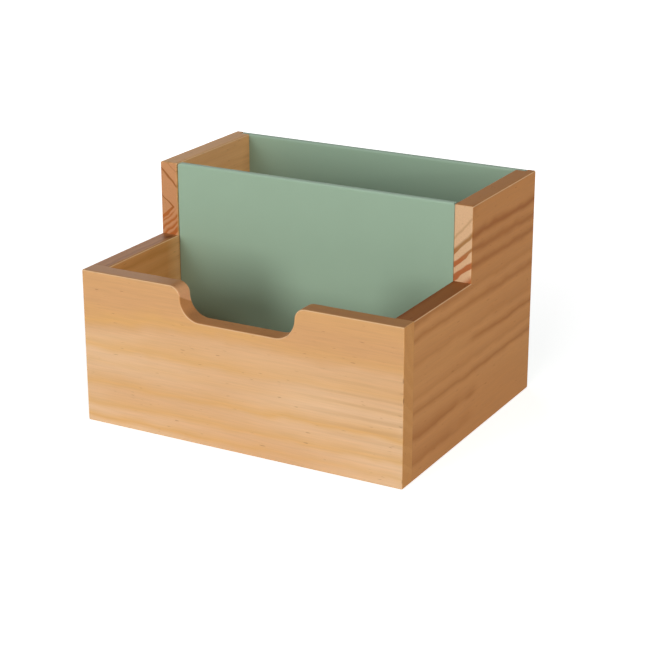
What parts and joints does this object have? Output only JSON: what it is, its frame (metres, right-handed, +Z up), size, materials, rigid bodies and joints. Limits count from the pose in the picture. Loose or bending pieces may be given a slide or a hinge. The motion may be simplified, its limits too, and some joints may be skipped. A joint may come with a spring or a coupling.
{
  "type": "desk organizer",
  "caption": "Open pine desk organizer with a low front tray behind a notched front board and a taller rear compartment, with a painted divider and back and a thin plywood floor.",
  "frame": {"origin": "middle of the underside, on the desk", "axes": "+X along the width to the right as seen from the front, -Y towards the front, +Z up from the desk"},
  "size_m": [0.18, 0.15, 0.12],
  "materials": {
    "pine": "clear matt lacquer on planed pine",
    "sage_paint": "matt sage green paint on thin fibreboard",
    "plywood": "raw birch plywood",
    "beech": "raw turned beech",
    "steel": "bright wire"
  },
  "bodies": {
    "root": {"front_panel": "pine", "left_side": "pine", "right_side": "pine", "divider": "sage_paint", "back_panel": "sage_paint", "bottom_panel": "plywood", "front_left_dowels": "beech", "front_right_dowels": "beech", "back_left_pins": "steel", "back_right_pins": "steel"}
  },
  "joints": []
}
